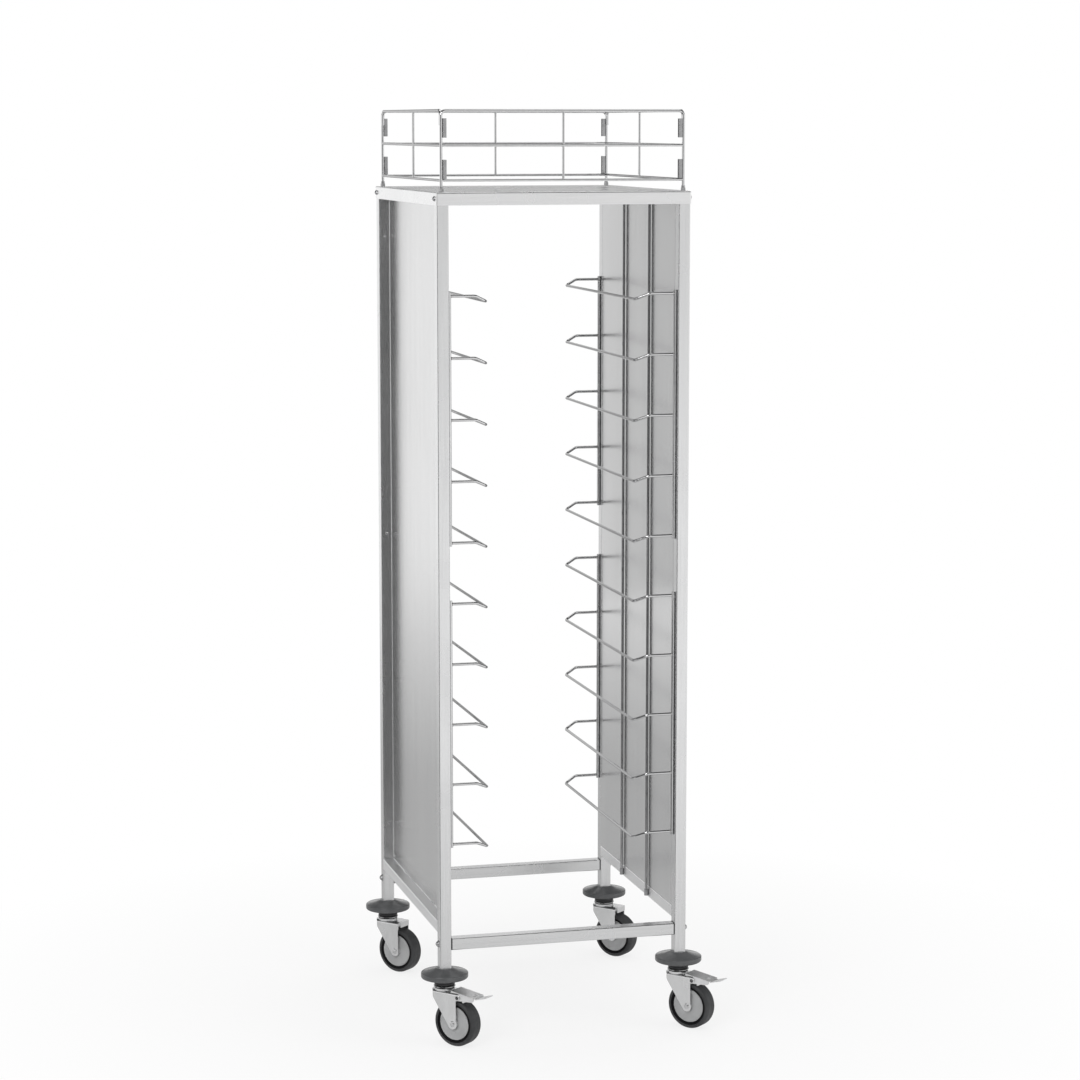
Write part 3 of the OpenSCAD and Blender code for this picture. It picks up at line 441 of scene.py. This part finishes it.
def tyreRings():
    inner, top, corner, foot = tyre["seat"], tyre["radius"], tyre["shoulder"], -tyre["width"] / 2
    chamfer = [(inner, foot + 4.7), (inner + 2.8, foot + 1.8), (inner + 2.9, foot + 0.2), (inner + 3.2, foot)]
    wall = [(inner + 4.2, foot), (inner + 4.6, foot + tyre["grooveDepth"])]
    shoulder = rounded(top - corner, foot + corner, corner, -80, -6)
    tread = [(top, -6), (top, -0.4), (top - 0.25, -0.15)]
    return mirrored(chamfer + wall + shoulder + tread)


rim = {"seat": 39, "lip": 37.6, "disc": 35.9, "boss": 11, "bore": 4.05, "halfWidth": 14.5, "bossHalf": 18.6,
       "sides": 96}


def rimRings():
    boss, disc, foot, end = rim["boss"], rim["disc"], -rim["halfWidth"], -rim["bossHalf"]
    return mirrored([
        (rim["bore"], end), (boss - 3, end), (boss - 2, end + 1), (boss - 1.2, foot + 0.6), (boss + 1.5, foot),
        (boss + 8, foot + 0.6), (disc - 6, foot + 0.5), (disc - 4.5, foot), (disc - 0.8, foot),
        (disc, foot + 0.8), (disc + 0.2, foot + 3.2), (rim["lip"], foot + 3.2), (rim["seat"], foot + 2.6)])


race = {"plate": 23.2, "groove": 21.9, "seal": 21, "crest": 16, "cone": 14.5, "hub": 6.05, "foot": 3,
        "sides": 72}


def overCrown(rings):  # a closed profile, raised to the foot of the race
    return [(r, race["foot"] + z) for r, z in rings + rings[:1]]


def raceRings():  # the upper race plate, with a groove round its turned edge
    plate, hub, groove = race["plate"], race["hub"], race["groove"] - 0.3
    return overCrown([
        (hub, 2.5), (race["seal"] - 1, 2.5), (plate - 0.5, 2.6), (plate, 3.0), (plate - 0.1, 3.6),
        (plate - 0.5, 3.8), (groove, 3.9), (groove, 4.6), (plate - 0.8, 4.7), (plate - 0.4, 5.1),
        (plate - 0.8, 5.6), (plate - 2, 5.95), (race["crest"], 6.0), (race["cone"], 6.0), (hub, 6.0)])


def sealRings():
    seal, hub = race["seal"], race["hub"]
    return overCrown([(hub, 0.35), (seal - 0.5, 0.35), (seal, 0.9), (seal - 1.2, 1.5), (seal - 0.4, 2.1),
                      (seal - 1.2, 2.45), (hub, 2.45)])


def grooveShadeRings():  # painted shade: a near-black filling in the plate's groove
    inner, outer = race["groove"] - 0.28, race["groove"] + 0.1
    return overCrown([(inner, 3.95), (outer, 3.95), (outer, 4.55), (inner, 4.55)])


# The collar under the bumper: a dark ring with ribs, round a bright sleeve
collar = {"inner": 15.6, "outer": 21.6, "low": -13.2, "high": -5.4, "rib": 3.2, "ribs": 14, "ribSoft": 0.4,
          "sleeve": 15.2, "stem": 10.1, "top": -0.1, "sides": 72}


def collarRings():
    inner, outer, low, high = collar["inner"], collar["outer"], collar["low"], collar["high"]
    middle, waist = (low + high) / 2, outer - 0.9
    return [(inner, low), (outer - 0.6, low), (outer, low + 0.5), (outer, middle - 0.7), (waist, middle - 0.3),
            (waist, middle + 0.3), (outer, middle + 0.7), (outer, high - 0.5), (outer - 0.5, high),
            (inner, high), (inner, low)]


def sleeveRings():
    inner, outer, low, high = collar["stem"], collar["sleeve"], collar["high"], collar["top"]
    return [(inner, low), (outer - 0.3, low), (outer, low + 0.3), (outer, high - 0.3), (outer - 0.3, high),
            (inner, high), (inner, low)]


def collarRib(angle):
    inner, outer, high = collar["inner"] + 0.2, collar["outer"] - 0.5, collar["high"] - 0.1
    deselect()
    bpy.ops.mesh.primitive_cube_add(size=1, location=((inner + outer) / 2000, 0, (high - 0.1) / 2000))
    rib = bpy.context.object
    rib.scale = ((outer - inner) / 1000, collar["rib"] / 1000, -high / 1000)
    soften = rib.modifiers.new("soften", "BEVEL")
    soften.width, soften.segments = collar["ribSoft"] / 1000, 2
    bpy.ops.object.transform_apply(location=True, rotation=True, scale=True)
    bpy.ops.object.modifier_apply(modifier="soften")
    return put(rib, (0, 0, 0), (math.cos(angle), math.sin(angle), 0))


bumper = {"radius": 50, "height": 22, "edge": 12, "soft": 3.6, "edgeSoft": 2.4, "neck": 10, "neckDrop": 6.7,
          "dome": (30, 16.6), "seat": 18.5, "bore": 6.05, "sides": 128}


def bumperRings():
    r, edge, soft, edgeSoft = bumper["radius"], bumper["edge"], bumper["soft"], bumper["edgeSoft"]
    neck, foot, seat, bore = bumper["neck"], -bumper["neckDrop"], bumper["seat"], bumper["bore"]
    top = bumper["height"] - 0.05
    under = [(bore, foot), (neck - 0.6, foot), (neck, foot + 0.6), (neck + 0.6, -0.6), (neck + 3, 0),
             (r - 9, 0), (r - 5.5, 0.3)]
    outside = (rounded(r - soft, soft + 0.4, soft, -75, 0)
               + rounded(r - edgeSoft, edge - 1.9, edgeSoft, 0, 66, 5))
    dome = [(r - 4.6, edge + 0.75), (r - 5.4, edge + 1.05), bumper["dome"], (seat + 2.5, 20.1), (seat, 21.2),
            (seat - 1.0, top), (bore, top)]
    return under + outside + dome + under[:1]


# The ring round the wheel's disc, on the tyre's chamfer, painted near black: painted shade of the recess
# between disc and tyre
ring = {"inner": 36.05, "flat": 38.8, "outer": 42.0, "foot": 11.6, "face": 13.4, "rise": 2.3, "thick": 1.6,
        "sides": 96}


def ringRings(side):
    inner, flat, outer, foot, face = ring["inner"], ring["flat"], ring["outer"], ring["foot"], ring["face"]
    high, thick = face + ring["rise"], ring["thick"]
    profile = [(inner, foot), (inner, face - 0.3), (inner + 0.3, face), (flat, face), (outer - 0.7, high),
               (outer - 0.2, high + 0.1), (outer, high - 0.2), (outer, high - thick + 0.3),
               (flat + 0.6, face - thick + 0.1), (flat + 0.2, foot), (inner, foot)]
    return [(r, side * z) for r, z in profile]


# The axle bolt: its head and its nut lie on the fork's legs
axle = {"fork": 21.55, "shank": 4, "head": 6.2, "headHeight": 1.98, "nut": 7.25, "nutHeight": 5, "end": 28.5,
        "sides": 48, "nutSides": 6, "nutSmooth": 20}


def axleRings():
    foot, shank, head, end = -axle["fork"], axle["shank"], axle["head"], axle["end"]
    face = foot - axle["headHeight"]
    return [(0, face), (head - 3.6, face + 0.08), (head - 2.2, face + 0.35), (head - 1.0, face + 0.8),
            (head - 0.25, face + 1.35), (head, foot - 0.2), (head - 0.1, foot), (shank, foot),
            (shank, end - 0.8), (shank - 0.8, end), (0, end)]


def nutRings():
    bore, nut = axle["shank"] - 0.1, axle["nut"]
    low, high = axle["fork"] + 0.05, axle["fork"] + axle["nutHeight"]
    return [(bore, low), (nut - 0.7, low), (nut, low + 0.45), (nut, high - 0.7), (nut - 1.1, high - 0.05),
            (bore + 0.6, high - 0.05), (bore, high - 0.5), (bore, low)]


tyreFirst = turned("tyreFirst", tyreRings(), tyre["sides"])
rimFirst = turned("rimFirst", rimRings(), rim["sides"])
bumperFirst = turned("bumperFirst", bumperRings(), bumper["sides"])
raceFirst = turned("raceFirst", raceRings(), race["sides"])
sealAndGrooveShadeFirst = joined([turned("sealRing", sealRings(), race["sides"]),
                    turned("grooveShade", grooveShadeRings(), race["sides"])], "sealAndGrooveShadeFirst")
ribAngles = [2 * math.pi * (k + 0.5) / collar["ribs"] for k in range(collar["ribs"])]
collarFirst = joined([turned("collarRing", collarRings(), collar["sides"])]
                     + [collarRib(angle) for angle in ribAngles], "collarFirst")
sleeveFirst = turned("sleeveFirst", sleeveRings(), collar["sides"])
ringFirst = joined([turned("ringNear", ringRings(-1), ring["sides"]),
                    turned("ringFar", ringRings(1), ring["sides"])], "ringFirst")
axleFirst = joined([turned("axleBolt", axleRings(), axle["sides"]),
                    turned("axleNut", nutRings(), axle["nutSides"], axle["nutSmooth"])], "axleFirst")

crownTop = joints["swivel_front_left"]["pos_m"][2]
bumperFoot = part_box("bumper_front_left")[1].z - bumper["height"] / 1000
races, sealsAndGrooveShade, collars = [], [], []
for corner in corners:
    swivel = Vector(joints["swivel_" + corner]["pos_m"])
    roll = joints["roll_" + corner]
    wheelAxis, wheelCentre = Vector(roll["axis"]), Vector(roll["pos_m"])
    overRace, underBumper = (swivel.x, swivel.y, crownTop), (swivel.x, swivel.y, bumperFoot)
    label = titled(corner)
    piece = put(copyOf(tyreFirst, "tyre" + label), wheelCentre, zAxis=wheelAxis)
    finishPiece(piece, tyreRubber, "wheel_" + corner, "tyre_rubber", "tyre_" + corner)
    piece = put(copyOf(rimFirst, "rim" + label), wheelCentre, zAxis=wheelAxis)
    finishPiece(piece, rimPlastic, "wheel_" + corner, "rim_plastic", "rim_" + corner)
    piece = put(copyOf(ringFirst, "ring" + label), wheelCentre, zAxis=wheelAxis)
    # painted shade: the near-black ring in the wheel's recess
    finishPiece(piece, ringShadeAndSealRubber, "wheel_" + corner, "tyre_rubber")
    piece = put(copyOf(axleFirst, "axle" + label), wheelCentre, (0, 0, 1), wheelAxis)
    finishPiece(piece, raceSteel, "swivel_" + corner, "castor_steel", "axle_" + corner)
    piece = put(copyOf(bumperFirst, "bumper" + label), underBumper)
    finishPiece(piece, bumperRubber, "frame", "bumper_rubber", "bumper_" + corner)
    races.append(put(copyOf(raceFirst, "race" + label), overRace))
    races.append(put(copyOf(sleeveFirst, "sleeve" + label), underBumper))
    sealsAndGrooveShade.append(put(copyOf(sealAndGrooveShadeFirst, "seal" + label), overRace))
    collars.append(put(copyOf(collarFirst, "collar" + label), underBumper))
finishPiece(joined(races, "swivelRaces"), raceSteel, "frame", "castor_steel", "castor_races")
# the seals carry painted shade: the near-black filling in each plate's groove
finishPiece(joined(sealsAndGrooveShade, "swivelSealsAndGrooveShade"), ringShadeAndSealRubber, "frame", "tyre_rubber")
finishPiece(joined(collars, "bumperCollars"), plugPlastic, "frame", "bumper_rubber")
for piece in (tyreFirst, rimFirst, ringFirst, axleFirst, bumperFirst, raceFirst, sealAndGrooveShadeFirst, collarFirst,
              sleeveFirst):
    bpy.data.objects.remove(piece)
print("castors dressed")

# Bolts and rivets
bolt = {"head": 6, "headHeight": 5, "shank": 3.2, "washer": 8, "washerBore": 4.2, "washerThick": 1.5,
        "socket": 2.6, "socketDepth": 2.2, "sides": 48}
shelfBolt = {"head": 5.5, "headHeight": 4.5, "shank": 3.2, "under": 0.5, "socket": 2.2, "socketDepth": 2.0,
             "sides": 48}
rivet = {"head": 4, "headHeight": 1.6, "hole": 1.4, "lift": 1.1, "sides": 32}
cutterHeight = 8


def domeRings(radius, height, foot, steps=7):
    ball = (radius * radius + height * height) / (2 * height)
    low, centre = math.asin(radius / ball), foot + height - ball
    return [(ball * math.sin(low * k / steps), centre + ball * math.cos(low * k / steps))
            for k in range(steps, -1, -1)]


def socketHead(name, size, foot, under):
    shank, head, height = size["shank"], size["head"], size["headHeight"]
    stem = [(0, foot - under), (shank, foot - under), (shank, foot), (head, foot)]
    piece = turned(name, stem + domeRings(head, height, foot), size["sides"])
    deselect()
    cutterMiddle = (foot + height - size["socketDepth"] + cutterHeight / 2) / 1000
    bpy.ops.mesh.primitive_cylinder_add(vertices=6, radius=size["socket"] / 1000, depth=cutterHeight / 1000,
                                        location=(0, 0, cutterMiddle))
    cutter = bpy.context.object
    pick(piece)
    cut = piece.modifiers.new("socket", "BOOLEAN")
    cut.operation, cut.object, cut.solver = "DIFFERENCE", cutter, "EXACT"
    bpy.ops.object.modifier_apply(modifier="socket")
    bpy.data.objects.remove(cutter)
    return piece


def washerRings():
    bore, washer, low, thick = bolt["washerBore"], bolt["washer"], 0.02, bolt["washerThick"]
    return [(bore, low), (washer - 0.3, low), (washer, 0.3), (washer, thick - 0.3),
            (washer - 0.3, thick - 0.05), (bore, thick - 0.05), (bore, low)]


def rivetRings():
    hole, high, head = rivet["hole"], rivet["headHeight"], rivet["head"]
    return [(0, 0.5), (hole, 0.5), (hole, high - 0.25), (hole + 0.3, high - 0.1), (hole + 1.0, high - 0.25),
            (head - 0.6, high - 0.75), (head, 0.1), (head, 0), (0, 0)]


def onPosts(first, name, z, x):  # four copies on the posts' outer side faces
    made = []
    for side in (-1, 1):
        for corner in ("front_left", "rear_left"):
            low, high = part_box("post_" + corner)
            spot = (side * x, (low.y + high.y) / 2, z)
            made.append(put(copyOf(first, name + str(len(made))), spot, (0, 0, 1), (side, 0, 0)))
    bpy.data.objects.remove(first)
    return joined(made, name)


boltBox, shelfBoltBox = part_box("rail_bolts"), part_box("shelf_bolts")
postSide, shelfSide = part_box("post_front_right")[1].x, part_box("top_shelf")[1].x
boltFirst = joined([socketHead("boltFirst", bolt, bolt["washerThick"], bolt["washerThick"]),
                    turned("washerFirst", washerRings(), bolt["sides"])], "boltFirst")
bolts = onPosts(boltFirst, "railBolts", (boltBox[0].z + boltBox[1].z) / 2, postSide)
finishPiece(bolts, fixingSteel, "frame", "fixing_steel", "rail_bolts")
boltFirst = socketHead("shelfBoltFirst", shelfBolt, 0, shelfBolt["under"])
bolts = onPosts(boltFirst, "shelfBolts", (shelfBoltBox[0].z + shelfBoltBox[1].z) / 2, shelfSide)
finishPiece(bolts, fixingSteel, "frame", "fixing_steel", "shelf_bolts")

rivetFirst = turned("rivetFirst", rivetRings(), rivet["sides"])
rivetLow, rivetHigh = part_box("panel_rivets")
rivetX = rivetHigh.x - rivet["head"] / 1000
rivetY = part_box("post_rear_right")[0].y - rivet["lift"] / 1000
rivetMiddle = (rivetLow.z + rivetHigh.z) / 2
rivetSpan = (rivetHigh.z - rivetLow.z - 2 * rivet["head"] / 1000) / 2
rivets = []
for sideX in (-1, 1):
    for sideY in (-1, 1):
        for level in (-1, 0, 1):
            spot = (sideX * rivetX, sideY * rivetY, rivetMiddle + level * rivetSpan)
            rivets.append(put(copyOf(rivetFirst, "rivet" + str(len(rivets))), spot, (0, 0, 1), (0, -sideY, 0)))
bpy.data.objects.remove(rivetFirst)
finishPiece(joined(rivets, "panelRivets"), fixingSteel, "frame", "fixing_steel", "panel_rivets")
print("bolts and rivets made")

# Welds, in millimetres: beads round the ends of the five bent wires of each rack
weld = {"wire": 3.0, "bead": 0.85, "sides": 16, "smooth": 60, "kinds": 3, "ripple": 0.12, "spread": 0.2,
        "upright": 7, "over": 7, "pitch": 127.5, "levels": 5, "sunk": 0.2}
rackNames = ["rack_lower_left", "rack_upper_left", "rack_lower_right", "rack_upper_right"]


def beadRings(inner, size):  # a ring of weld metal round a wire
    middle, slant = inner + 0.7 * size, 0.75 * size
    return [(inner, -size), (middle, -slant), (inner + size, 0), (middle, slant), (inner, size), (inner, -size)]


def roughen(piece, amount, seed):
    pick(piece)
    bpy.ops.object.mode_set(mode="EDIT")
    bpy.ops.mesh.select_all(action="SELECT")
    bpy.ops.transform.vertex_random(offset=amount, uniform=weld["spread"], seed=seed)
    bpy.ops.object.mode_set(mode="OBJECT")
    return piece


beads = []
for kind in range(weld["kinds"]):
    bead = turned("beadFirst" + str(kind), beadRings(weld["wire"] - weld["sunk"], weld["bead"]),
                  weld["sides"], weld["smooth"])
    beads.append(roughen(bead, weld["ripple"] / 1000, kind + 1))
for rackName in rackNames:
    side = -1 if rackName.endswith("left") else 1
    low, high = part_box(rackName)
    face = max(abs(low.x), abs(high.x)) - (weld["upright"] + weld["sunk"]) / 1000
    depth = high.y - weld["upright"] / 2000
    made = []
    for level in range(weld["levels"]):
        z = high.z - (weld["over"] + level * weld["pitch"]) / 1000
        for sideY in (-1, 1):
            bead = copyOf(beads[(level + sideY) % weld["kinds"]], "bead")
            made.append(put(bead, (side * face, sideY * depth, z), (0, 0, 1), (side, 0, 0)))
    finishPiece(joined(made, "welds" + titled(rackName)), weldSteel, "frame", "wire_steel")
for bead in beads:
    bpy.data.objects.remove(bead)
print("welds made")

# Stage, in metres
stage = {"radius": 40, "sides": 96, "colour": 0.92, "clearFrom": 0.45, "clearTo": 1.5, "clearNear": 0.80}
studio = {"seen": 1.0, "lit": 0.55}


def clearTree(owner):
    owner.use_nodes = True
    owner.node_tree.nodes.clear()
    return owner.node_tree


def seenRays(tree):  # 1 for what the camera, a reflection or glass sees
    rays = tree.nodes.new("ShaderNodeLightPath")
    either = combine(tree, "MAXIMUM", rays.outputs["Is Camera Ray"], rays.outputs["Is Glossy Ray"])
    return combine(tree, "MAXIMUM", either, rays.outputs["Is Transmission Ray"])


def fromCentre(tree):  # the distance from a disc's centre
    coords = tree.nodes.new("ShaderNodeTexCoord")
    away = add(tree, "ShaderNodeVectorMath", operation="LENGTH")
    tree.links.new(coords.outputs["Object"], away.inputs[0])
    return away.outputs["Value"]


def showMix(tree, kind, mask, low, high):  # a mix of two shaders, led to an output of this kind
    mixer, output = tree.nodes.new("ShaderNodeMixShader"), tree.nodes.new(kind)
    for index, source in enumerate((mask, low.outputs[0], high.outputs[0])):
        tree.links.new(source, mixer.inputs[index])
    tree.links.new(mixer.outputs[0], output.inputs[0])


def flatDisc(name, radius):
    deselect()
    bpy.ops.mesh.primitive_circle_add(vertices=stage["sides"], radius=radius, fill_type="NGON",
                                      location=(0, 0, 0))
    bpy.context.object.name = name
    return bpy.context.object


floor = flatDisc("floor", stage["radius"])
floorMaterial = bpy.data.materials.new("paleFloor")
tree = clearTree(floorMaterial)
matt = add(tree, "ShaderNodeBsdfDiffuse", Color=(stage["colour"], stage["colour"], stage["colour"], 1))
glow = tree.nodes.new("ShaderNodeEmission")
clear = remap(tree, fromCentre(tree), stage["clearFrom"], stage["clearTo"], stage["clearNear"], 1.0)
showMix(tree, "ShaderNodeOutputMaterial", combine(tree, "MULTIPLY", clear, seenRays(tree)), matt, glow)
dress(floor, floorMaterial)

world = bpy.data.worlds.new("studio")
bpy.context.scene.world = world
tree = clearTree(world)
seen = add(tree, "ShaderNodeBackground", Color=(1, 1, 1, 1), Strength=studio["seen"])
lit = add(tree, "ShaderNodeBackground", Color=(1, 1, 1, 1), Strength=studio["lit"])
showMix(tree, "ShaderNodeOutputWorld", seenRays(tree), lit, seen)

# Grey cards round the stage, which only reflections see. Upright ones shade from "low" at the foot to "high"
# at the top, round ones from "low" inside the first radius to "high" outside the second
cards = [
    {"name": "cardCameraSide", "place": (-4.6, -6.6, 1.6), "size": (8.5, 5.0), "low": 0.05, "high": 0.07},
    {"name": "cardFrontHorizon", "place": (2.1, -9.5, 2.3), "size": (3.4, 3.6), "low": 0.78, "high": 0.66},
    {"name": "cardBehindShelf", "place": (2.4, 7.5, 2.3), "size": (5.0, 2.2), "low": 0.84, "high": 0.70},
    {"name": "cardRight", "place": (4.6, 3.6, 1.3), "size": (3.0, 4.4), "low": 0.1, "high": 0.3},
    {"name": "cardInside", "place": (0.0, 0.95, 1.26), "size": (0.6, 1.04), "across": True,
     "low": 0.30, "high": 1.15},
    {"name": "cardFloor", "place": (-0.6, 1.6, 0.004), "radius": 7, "between": (0.8, 5.0),
     "low": 0.50, "high": 1.0},
    {"name": "cardFloorCameraSide", "place": (-2.6, -5.1, 0.006), "size": (4.6, 8.6), "flat": True,
     "low": 0.12, "high": 0.16},
    {"name": "cardCeiling", "place": (0, 0, 5.3), "radius": 42, "between": (7, 25), "low": 0.05, "high": 0.95},
]


def greyCard(card):
    material = bpy.data.materials.new(card["name"])
    tree = clearTree(material)
    output = tree.nodes.new("ShaderNodeOutputMaterial")
    grey = add(tree, "ShaderNodeEmission", Color=(1, 1, 1, 1))
    if "radius" in card:
        shade = remap(tree, fromCentre(tree), *card["between"], card["low"], card["high"])
    else:
        coords = tree.nodes.new("ShaderNodeTexCoord")
        parts = tree.nodes.new("ShaderNodeSeparateXYZ")
        tree.links.new(coords.outputs["Object"], parts.inputs[0])
        along, half = parts.outputs["X" if "across" in card else "Y"], 0.5
        shade = remap(tree, along, -half, half, card["low"], card["high"])
    tree.links.new(shade, grey.inputs["Strength"])
    tree.links.new(grey.outputs[0], output.inputs[0])
    return material


for card in cards:
    if "radius" in card:
        panel = flatDisc(card["name"], card["radius"])
    else:
        deselect()
        bpy.ops.mesh.primitive_plane_add(size=1, location=(0, 0, 0))
        panel = bpy.context.object
        panel.name = card["name"]
        panel.scale = (*card["size"], 1)
    panel.location = card["place"]
    if "across" in card:
        panel.rotation_euler = (math.radians(90), 0, 0)
    elif "size" in card and "flat" not in card:
        aim = Vector((0, 0, card["place"][2])) - Vector(card["place"])
        panel.rotation_euler = aim.to_track_quat("Z", "Y").to_euler()
    panel.visible_camera = panel.visible_diffuse = panel.visible_transmission = panel.visible_shadow = False
    dress(panel, greyCard(card))

lampAim = (0, 0, 1.0)
lamps = [
    {"name": "keyLamp", "place": (-3.2, -3.4, 3.6), "size": 2.4, "power": 80},
    {"name": "fillLamp", "place": (3.6, -3.0, 2.2), "size": 2.6, "power": 35, "unmirrored": True},
    {"name": "topLamp", "place": (0.4, 0.6, 4.6), "size": 3.0, "power": 36},
]
for lamp in lamps:
    light = bpy.data.lights.new(lamp["name"], "AREA")
    light.shape, light.size, light.energy = "SQUARE", lamp["size"], lamp["power"]
    lampObject = bpy.data.objects.new(lamp["name"], light)
    bpy.context.collection.objects.link(lampObject)
    lampObject.location = lamp["place"]
    lampObject.visible_glossy = "unmirrored" not in lamp
    aim = Vector(lampAim) - Vector(lamp["place"])
    lampObject.rotation_euler = aim.to_track_quat("-Z", "Y").to_euler()
print("stage ready")
